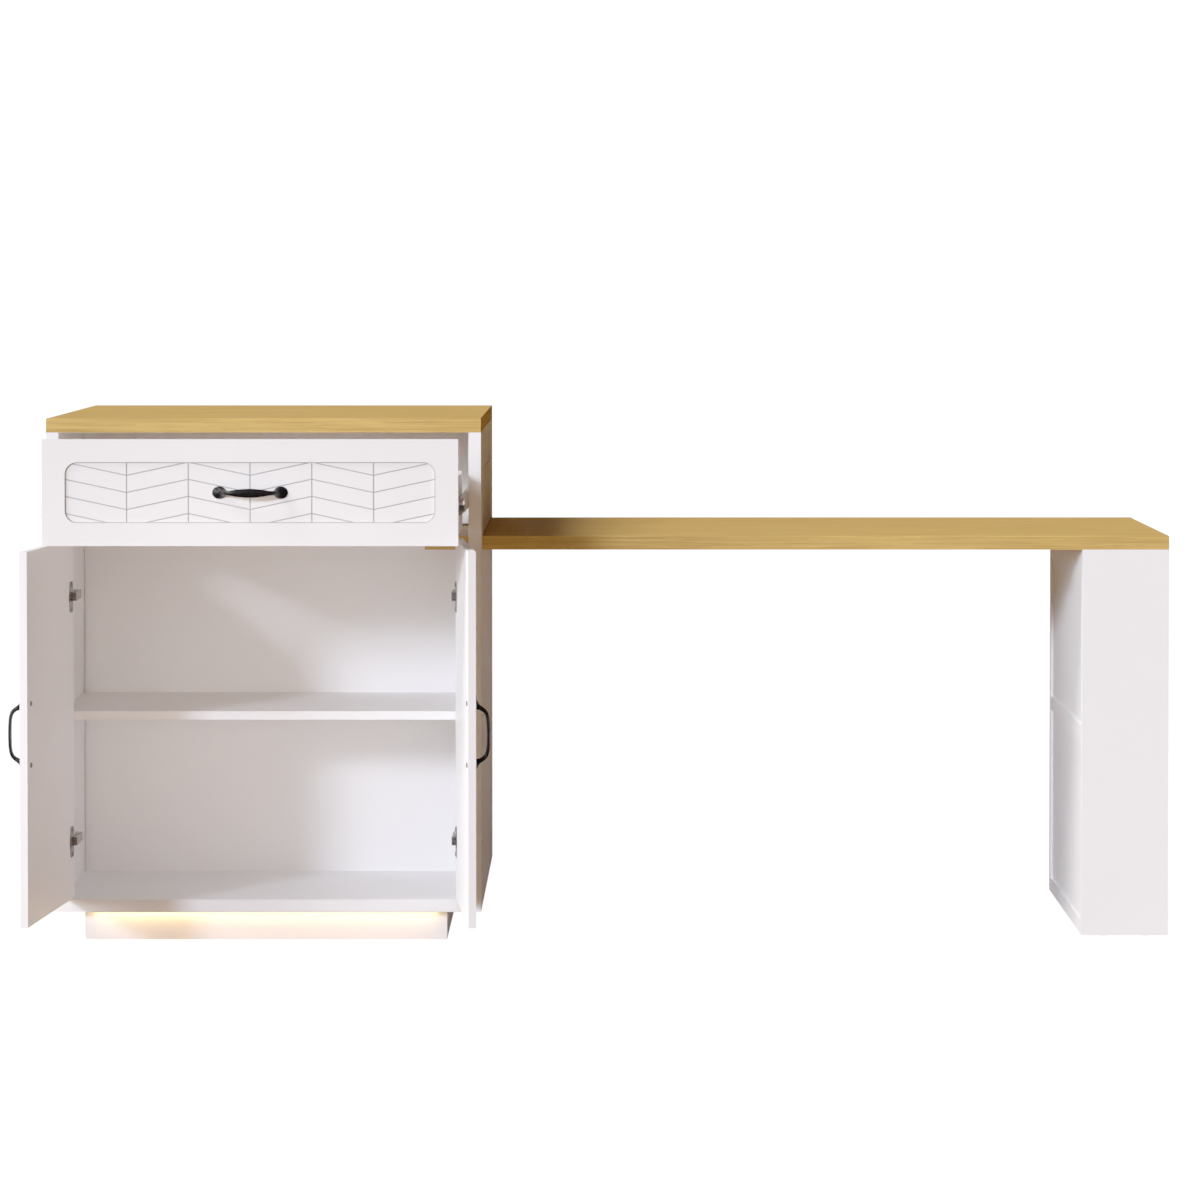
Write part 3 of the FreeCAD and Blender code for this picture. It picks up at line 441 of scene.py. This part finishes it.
def steel_material(name, colour, brushed, roughness):
    """Plated steel with fine brush lines, stretched along one axis, and faint stains in its sheen."""
    material, nodes, links, shader = start_material(name)
    place = object_coordinates(nodes)
    lines = stretched_noise(nodes, links, place, brushed, detail=3)
    stain = stretched_noise(nodes, links, place, (60, 60, 60), detail=3)
    pale = tuple(min(1.0, c * 1.12) for c in colour)
    deep = tuple(c * 0.86 for c in colour)
    links.new(ramp(nodes, links, lines, [(0.3, deep), (0.7, pale)]), shader.inputs["Base Color"])
    rough = span(nodes, links, stain, 0.3, 0.7, roughness - 0.06, roughness + 0.08)
    links.new(rough, shader.inputs["Roughness"])
    add_bump(nodes, links, shader, lines, 0.00004, 0.5)
    shader.inputs["Metallic"].default_value = 1.0
    return material


def plastic_material(name, colour, roughness):
    """Moulded plastic with a fine spark-eroded grain."""
    material, nodes, links, shader = start_material(name)
    place = object_coordinates(nodes)
    grain = stretched_noise(nodes, links, place, (900, 900, 900), detail=2)
    pale = tuple(min(1.0, c * 1.06) for c in colour)
    links.new(ramp(nodes, links, grain, [(0.3, colour), (0.7, pale)]), shader.inputs["Base Color"])
    add_bump(nodes, links, shader, grain, 0.00005, 0.6)
    shader.inputs["Roughness"].default_value = roughness
    return material


def lit_cover_material(finish):
    """Frosted cover that glows."""
    material, nodes, links, shader = start_material("lit_cover_finish")
    place = object_coordinates(nodes)
    frost = stretched_noise(nodes, links, place, (700, 700, 700), detail=2)
    links.new(ramp(nodes, links, frost, [(0.3, (0.92, 0.88, 0.8)), (0.7, (0.97, 0.94, 0.88))]),
              shader.inputs["Base Color"])
    shader.inputs["Emission Color"].default_value = (*finish.colour, 1.0)
    shader.inputs["Emission Strength"].default_value = finish.strength
    shader.inputs["Roughness"].default_value = 0.6
    return material


def light_strip_material():
    """White circuit strip with a yellow chip every 17 mm."""
    material, nodes, links, shader = start_material("light_strip_finish")
    place = object_coordinates(nodes)
    wave = nodes.new("ShaderNodeTexWave")
    wave.bands_direction = "X"
    wave.inputs["Scale"].default_value = 18.5
    links.new(place, wave.inputs["Vector"])
    colours = [(0.80, (0.85, 0.85, 0.82)), (0.88, (0.95, 0.72, 0.10))]
    links.new(ramp(nodes, links, wave.outputs["Fac"], colours), shader.inputs["Base Color"])
    shader.inputs["Roughness"].default_value = 0.5
    return material


def dress(names, material):
    """Put one material on CAD nodes in place of their plain one."""
    for name in names:
        slots = NODES[name].data.materials
        slots.clear()
        slots.append(material)


# Surfaces

def cubic_line(values, samples):
    """Natural cubic spline through evenly spaced values, read at evenly spaced samples: each span is the
    cubic whose second derivatives at its ends solve the usual three-term equations."""
    values = np.asarray(values, float)
    n = len(values) - 1
    matrix = np.eye(n + 1) * 4
    matrix[0, 0] = matrix[n, n] = 1
    index = np.arange(1, n)
    matrix[index, index - 1] = 1
    matrix[index, index + 1] = 1
    right = np.zeros_like(values)
    right[1:n] = 6 * (values[2:] - 2 * values[1:-1] + values[:-2])
    bend = np.linalg.solve(matrix, right)
    t = np.linspace(0, n, samples)
    i = np.minimum(t.astype(int), n - 1)
    b = (t - i).reshape((-1,) + (1,) * (values.ndim - 1))
    a = 1 - b
    return (a * values[i] + b * values[i + 1]
            + ((a ** 3 - a) * bend[i] + (b ** 3 - b) * bend[i + 1]) / 6)


def grid_faces(rows, columns):
    """Quads of a grid that closes on itself round its columns."""
    i, j = np.meshgrid(np.arange(rows - 1), np.arange(columns), indexing="ij")
    k = (j + 1) % columns
    row, after = i * columns, (i + 1) * columns
    return np.stack([row + j, row + k, after + k, after + j], axis=-1).reshape(-1, 4)


def mesh_piece(name, parts, material, body):
    """One object from closed grids of points, each rows by columns by 3; the first and last rows are
    poles."""
    points = []
    quads = []
    first = 0
    for grid in parts:
        rows, columns = grid.shape[:2]
        points.append(grid.reshape(-1, 3))
        quads.append(grid_faces(rows, columns) + first)
        first += rows * columns
    mesh = bpy.data.meshes.new(name)
    mesh.from_pydata(np.concatenate(points), [], np.concatenate(quads))
    mesh.validate()
    merge_doubles(mesh)
    mesh.polygons.foreach_set("use_smooth", np.ones(len(mesh.polygons), bool))
    mesh.set_sharp_from_angle(angle=SMOOTH_ANGLE)
    mesh.materials.append(material)
    piece = bpy.data.objects.new(name, mesh)
    bpy.context.scene.collection.objects.link(piece)
    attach(piece, body)
    return piece


def merge_doubles(mesh):
    """Close the poles and turn every face outwards."""
    apart = 1e-7
    work = bmesh.new()
    work.from_mesh(mesh)
    bmesh.ops.remove_doubles(work, verts=work.verts, dist=apart)
    bmesh.ops.dissolve_degenerate(work, edges=work.edges, dist=apart)
    bmesh.ops.recalc_face_normals(work, faces=work.faces)
    work.to_mesh(mesh)
    work.free()


def placed(local, seat, axes):
    """Points from a local frame with three axes to the shared frame."""
    return np.asarray(seat) + local @ np.asarray(axes, float)


def bow_surface(sizes, rows=120, columns=28):
    """Bow handle along the first axis, standing out along the second, as wide as the third says: an ellipse
    whose centre, lean, half thickness and half width run along splines from one foot over the grip to the
    other foot."""
    half_foot = sizes.foot_length / 2
    half_pad = sizes.foot_width / 2
    half_grip = sizes.grip_width / 2
    half_bar = sizes.grip_thickness / 2
    foot = sizes.foot_centre
    inner = foot - half_foot
    crown = sizes.projection - half_bar
    # Along, out, half thickness, half width and lean in degrees, from a foot to the middle
    half = np.array([
        (foot, 0.0, half_foot, half_pad, 0),
        (foot, 0.04 * crown, half_foot, half_pad, 0),
        (foot - 0.08 * half_foot, 0.10 * crown, 0.82 * half_foot, 0.88 * half_pad, 0),
        (inner + 0.62 * half_foot, 0.22 * crown, 0.52 * half_foot, 0.66 * half_pad, 3),
        (inner + 0.36 * half_foot, 0.40 * crown, 0.36 * half_foot, 0.62 * half_grip, 10),
        (1.02 * inner, 0.64 * crown, 1.35 * half_bar, 0.50 * half_grip, 30),
        (0.88 * inner, 0.84 * crown, 1.20 * half_bar, 0.52 * half_grip, 60),
        (0.645 * inner, 0.955 * crown, 1.04 * half_bar, 0.72 * half_grip, 80),
        (0.30 * inner, 0.992 * crown, half_bar, 0.94 * half_grip, 87)])
    middle = np.array([(0.0, crown, half_bar, half_grip, 90)])
    other = half[::-1] * (-1, 1, 1, 1, -1) + (0, 0, 0, 0, 180)
    along, out, thick, wide, lean = cubic_line(np.concatenate([half, middle, other]), rows).T
    turn = np.linspace(0, 2 * math.pi, columns, endpoint=False)
    lean = np.radians(lean)
    u = thick[:, None] * np.cos(turn)
    grid = np.stack([
        along[:, None] + u * np.cos(lean)[:, None],
        out[:, None] + u * np.sin(lean)[:, None],
        wide[:, None] * np.sin(turn)], axis=-1)
    grid[..., 1] = np.maximum(grid[..., 1], 0)
    ends = [np.repeat(grid[i:i + 1].mean(axis=1, keepdims=True), columns, axis=1) for i in (0, rows - 1)]
    return np.concatenate([ends[0], grid, ends[1]])


def screw_surface(sizes, radius, height, shank_radius, length, columns=32):
    """Pan-head screw about its third axis: a domed profile turned round, whose dome sinks by a cross where
    the smaller of the two distances from the axes is under the recess width and the radius is under its
    reach."""
    rim = 0.62
    wall_slope, end_slope = 0.06, 0.08
    straight_share = 0.86
    reach = np.array([0, 0.12, 0.2, 0.28, 0.4, 0.52, 0.62, 0.7, 0.82, 0.92, 0.98, 1.0, 1.0]) * radius
    share = reach / radius
    dome = height * (rim + (1 - rim) * np.sqrt(np.clip(1 - share ** 2, 0, 1)))
    dome[-1] = 0
    turn = np.linspace(0, 2 * math.pi, columns, endpoint=False)
    x = reach[:, None] * np.cos(turn)
    y = reach[:, None] * np.sin(turn)
    near = np.minimum(np.abs(x), np.abs(y)) / radius
    across = np.clip((sizes.recess_width - near) / wall_slope, 0, 1)
    inside = np.clip((sizes.recess_reach - share[:, None]) / end_slope, 0, 1)
    z = dome[:, None] - sizes.recess_depth * height * across * inside
    head = np.stack([x, y, z], axis=-1)
    ring = np.stack([np.cos(turn), np.sin(turn), np.zeros(columns)], axis=-1)
    shank = ring * (shank_radius, shank_radius, 0)
    rings = [shank + (0, 0, depth) for depth in (0, -length * straight_share)]
    tip = np.zeros((1, columns, 3)) + (0, 0, -length)
    return np.concatenate([head, np.stack(rings), tip])


# Places that the fittings take from the frame

def node_points(name):
    """Places of a CAD node's vertices in the shared frame."""
    node = NODES[name]
    points = np.empty(len(node.data.vertices) * 3)
    node.data.vertices.foreach_get("co", points)
    turn = np.array(node.matrix_world)
    return points.reshape(-1, 3) @ turn[:3, :3].T + turn[:3, 3]


def front_axes(side):
    """Along, out and across directions of a handle on the drawer (side 0) or on an open door (side -1 for
    the left, 1 for the right): a closed door's directions turned about Z by the hinge's whole range."""
    if side == 0:
        return np.array([(1.0, 0, 0), (0, -1.0, 0), (0, 0, 1.0)])
    angle = math.radians(JOINTS["left_door_hinge"]["range_deg"][0])
    out = (-side * math.sin(angle), -math.cos(angle), 0)
    across = (-side * math.cos(angle), math.sin(angle), 0)
    return np.array([(0, 0, 1.0), out, across])


def handle_seat(name, axes):
    """Point on the front in the middle between a handle's feet, from the extents of its CAD node."""
    local = node_points(name) @ axes.T
    low, high = local.min(axis=0), local.max(axis=0)
    return np.array([(low[0] + high[0]) / 2, low[1], (low[2] + high[2]) / 2]) @ axes


def placed_screw(sizes, points):
    """Screw surface on the place of one CAD screw: its axis is the longest direction of the points, its head
    the end where they lie farthest from that axis."""
    tilted = (0.3, 0.5, 0.8)
    centre = (points.min(axis=0) + points.max(axis=0)) / 2
    spread = points - centre
    axis = np.linalg.svd(spread, full_matrices=False)[2][0]
    along = spread @ axis
    away = np.linalg.norm(spread - along[:, None] * axis, axis=1)
    radius = away.max()
    is_head = away > radius * 0.9
    if along[is_head].mean() < along.mean():
        axis, along = -axis, -along
    seat = along[is_head].min()
    height = along.max() - seat
    shank = away[~is_head & (away > radius * 0.1)].min()
    side = np.cross(axis, tilted)
    side /= np.linalg.norm(side)
    local = screw_surface(sizes, radius, height, shank, seat - along.min())
    return placed(local, centre + axis * seat, [side, np.cross(axis, side), axis])


# Stage

def sun_light(name, towards, strength, width, colour):
    """Even light from one side, as soft as its width in degrees."""
    data = bpy.data.lights.new(name, "SUN")
    data.angle = math.radians(width)
    data.energy = strength
    data.color = colour
    lamp = bpy.data.objects.new(name, data)
    lamp.rotation_euler = Vector(towards).to_track_quat("Z", "Y").to_euler()
    lamp.visible_glossy = name != "rear_light"
    bpy.context.scene.collection.objects.link(lamp)


def bay_light(power):
    """Soft spot in front of the doors, aimed at the middle of the bays behind them."""
    stand = Vector((-0.15, -2.4, 0.15))
    cone = math.radians(21)
    low, high = (np.array(corner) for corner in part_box("front_shelf"))
    middle = Vector((low + high) / 2)
    data = bpy.data.lights.new("bay_light", "SPOT")
    data.energy = power
    data.color = (1.0, 0.94, 0.90)
    data.spot_size = cone
    data.spot_blend = 0.4
    data.shadow_soft_size = 0.25
    lamp = bpy.data.objects.new("bay_light", data)
    lamp.location = middle + stand
    lamp.rotation_euler = (lamp.location - middle).to_track_quat("Z", "Y").to_euler()
    lamp.visible_glossy = False
    bpy.context.scene.collection.objects.link(lamp)


def backdrop(studio):
    """Floor that curves up behind the object: a flat run, a quarter circle and an upright run, drawn along
    X."""
    radius = 3.0
    front, back = -14.0, 9.0
    height, half_width = 12.0, 22.0
    steps = 24
    turn = np.linspace(0, math.pi / 2, steps)
    y = np.concatenate([[front], back + radius * np.sin(turn), [back + radius]])
    z = np.concatenate([[0.0], radius * (1 - np.cos(turn)), [height]])
    x = np.array([-half_width, half_width])
    points = np.stack([np.repeat(x, len(y)), np.tile(y, 2), np.tile(z, 2)], axis=-1)
    n = len(y)
    i = np.arange(n - 1)
    quads = np.stack([i, i + n, i + n + 1, i + 1], axis=-1)
    mesh = bpy.data.meshes.new("floor")
    mesh.from_pydata(points, [], quads)
    mesh.polygons.foreach_set("use_smooth", np.ones(len(quads), bool))
    material, nodes, links, shader = start_material("floor_finish")
    shader.inputs["Base Color"].default_value = (*studio.floor, 1.0)
    shader.inputs["Emission Color"].default_value = (1, 1, 1, 1)
    shader.inputs["Emission Strength"].default_value = studio.floor_glow
    shader.inputs["Roughness"].default_value = 1.0
    shader.inputs["Specular IOR Level"].default_value = 0.0
    mesh.materials.append(material)
    floor = bpy.data.objects.new("floor", mesh)
    floor.visible_diffuse = False
    floor.visible_glossy = False
    floor.visible_shadow = False
    return floor


def bounce_plane(studio):
    """Pale plane just under the floor that throws light up at the object but isn't seen itself."""
    reach = 12.0
    level = -0.002
    corners = [(x * reach, y * reach, level) for x, y in ((-1, -1), (1, -1), (1, 1), (-1, 1))]
    mesh = bpy.data.meshes.new("bounce")
    mesh.from_pydata(corners, [], [(0, 1, 2, 3)])
    material, nodes, links, shader = start_material("bounce_finish")
    shader.inputs["Base Color"].default_value = (*studio.bounce, 1.0)
    shader.inputs["Roughness"].default_value = 1.0
    shader.inputs["Specular IOR Level"].default_value = 0.0
    mesh.materials.append(material)
    plane = bpy.data.objects.new("bounce", mesh)
    plane.visible_camera = False
    plane.visible_glossy = False
    return plane


# Steps

class ISLAND_OT_boards(bpy.types.Operator):
    """Lacquer the boards of the cabinet, the fronts, the drawer box and the leg"""
    bl_idname = "island.boards"
    bl_label = "White boards"

    def execute(self, context):
        finish = settings(context).lacquer
        dress(LACQUERED, lacquer_material(finish, "white_lacquer_finish"))
        grooved = [
            (front, front_axes(side)[1], finish.chevron_depth) for front, body, handle, side in FRONTS]
        grooved += [(panel, out, finish.side_depth) for panel, out in GROOVED_SIDES]
        # Each grooved board gets its own lacquer with painted shade on its groove floors
        for board, out, depth in grooved:
            floor = (node_points(board) @ np.array(out)).max() - depth
            dress([board], lacquer_material(finish, board + "_finish", out, floor))
        return {"FINISHED"}


class ISLAND_OT_tops(bpy.types.Operator):
    """Give the worktop and the table their oak decor"""
    bl_idname = "island.tops"
    bl_label = "Oak tops"

    def execute(self, context):
        dress(OAK_TOPS, oak_material(settings(context).oak))
        dress(BARE_WOOD, bare_wood_material())
        return {"FINISHED"}


class ISLAND_OT_handles(bpy.types.Operator):
    """Model the bow handles"""
    bl_idname = "island.handles"
    bl_label = "Bow handles"

    def execute(self, context):
        sizes = settings(context).handles
        black = black_material(sizes)
        for front, body, node, side in FRONTS:
            dress([node], black)
            axes = front_axes(side)
            grid = placed(bow_surface(sizes), handle_seat(node, axes), axes)
            piece = mesh_piece(node + "_bow", [grid], black, body)
            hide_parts(node)
        return {"FINISHED"}


class ISLAND_OT_fittings(bpy.types.Operator):
    """Finish the hinges, runners, brackets, pins, screws and glides"""
    bl_idname = "island.fittings"
    bl_label = "Fittings"

    def execute(self, context):
        sizes = settings(context).screws
        plated = steel_material("plated_steel_finish", PLATED_STEEL, (60, 60, 900), 0.30)
        dress(STEEL, plated)
        dress(RUNNERS, plastic_material("white_coat_finish", WHITE_COAT, 0.5))
        for name, body, count in SCREWS:
            dress([name], plated)
            parts = [placed_screw(sizes, points) for points in node_points(name).reshape(count, -1, 3)]
            piece = mesh_piece(name + "_turned", parts, plated, body)
            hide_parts(name)
        dress(NYLON, plastic_material("nylon_finish", NATURAL_NYLON, 0.45))
        return {"FINISHED"}


class ISLAND_OT_light(bpy.types.Operator):
    """Finish the light under the bottom board"""
    bl_idname = "island.light"
    bl_label = "Plinth light"

    def execute(self, context):
        dress(["light_channel"], steel_material("channel_finish", ANODISED, (30, 900, 900), 0.36))
        dress(["light_strip"], light_strip_material())
        dress(["light_diffuser"], lit_cover_material(settings(context).light))
        dress(["light_battery_box"], plastic_material("battery_box_finish", BLACK_PLASTIC, 0.5))
        return {"FINISHED"}


class ISLAND_OT_stage(bpy.types.Operator):
    """Set up the floor, the studio light and the camera"""
    bl_idname = "island.stage"
    bl_label = "Stage"

    def execute(self, context):
        studio = settings(context).studio
        scene = context.scene
        scene.view_settings.view_transform = "Standard"
        scene.view_settings.gamma = studio.gamma
        scene.collection.objects.link(backdrop(studio))
        scene.collection.objects.link(bounce_plane(studio))
        world = bpy.data.worlds.new("surround")
        world.use_nodes = True
        shader = world.node_tree.nodes["Background"]
        shader.inputs["Color"].default_value = (*studio.sky, 1.0)
        shader.inputs["Strength"].default_value = 1.0
        scene.world = world
        for name, towards, width, colour in SUNS:
            sun_light(name + "_light", towards, getattr(studio, name), width, colour)
        bay_light(studio.bay)
        data = bpy.data.cameras.new("camera")
        data.sensor_fit = "AUTO"
        data.sensor_width = SENSOR_WIDTH
        data.lens = FOCAL_LENGTH * SENSOR_WIDTH / PHOTO_SIDE
        data.shift_x = COLUMN_SHIFT / PHOTO_SIDE
        axis_row = HORIZON_ROW + FOCAL_LENGTH * math.tan(studio.tilt)
        data.shift_y = (axis_row - PHOTO_SIDE / 2) / PHOTO_SIDE
        data.clip_end = 100.0
        camera = bpy.data.objects.new("camera", data)
        camera.location = studio.station
        camera.rotation_euler = (math.pi / 2 - studio.tilt, 0, 0)
        scene.collection.objects.link(camera)
        scene.camera = camera
        return {"FINISHED"}


OPERATORS = (
    ISLAND_OT_boards, ISLAND_OT_tops, ISLAND_OT_handles, ISLAND_OT_fittings, ISLAND_OT_light,
    ISLAND_OT_stage)


class ISLAND_PT_panel(bpy.types.Panel):
    """Steps that dress the kitchen island"""
    bl_idname = "ISLAND_PT_panel"
    bl_label = "Kitchen island"
    bl_space_type = "VIEW_3D"
    bl_region_type = "UI"
    bl_category = "Island"

    def draw(self, context):
        for operator in OPERATORS:
            self.layout.operator(operator.bl_idname)


class IslandLooks(bpy.types.PropertyGroup):
    """All settings of the island"""
    lacquer: PointerProperty(type=LacquerFinish)
    oak: PointerProperty(type=OakFinish)
    handles: PointerProperty(type=HandleSizes)
    screws: PointerProperty(type=ScrewSizes)
    light: PointerProperty(type=LightFinish)
    studio: PointerProperty(type=StudioSettings)


CLASSES = (
    LacquerFinish, OakFinish, HandleSizes, ScrewSizes, LightFinish, StudioSettings, IslandLooks,
    *OPERATORS, ISLAND_PT_panel)


def register():
    for cls in CLASSES:
        bpy.utils.register_class(cls)
    bpy.types.Scene.island_looks = PointerProperty(type=IslandLooks)


def unregister():
    del bpy.types.Scene.island_looks
    for cls in reversed(CLASSES):
        bpy.utils.unregister_class(cls)


def main():
    """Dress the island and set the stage."""
    register()
    bpy.ops.island.boards()
    bpy.ops.island.tops()
    bpy.ops.island.handles()
    bpy.ops.island.fittings()
    bpy.ops.island.light()
    bpy.ops.island.stage()


if __name__ == "__main__":
    main()
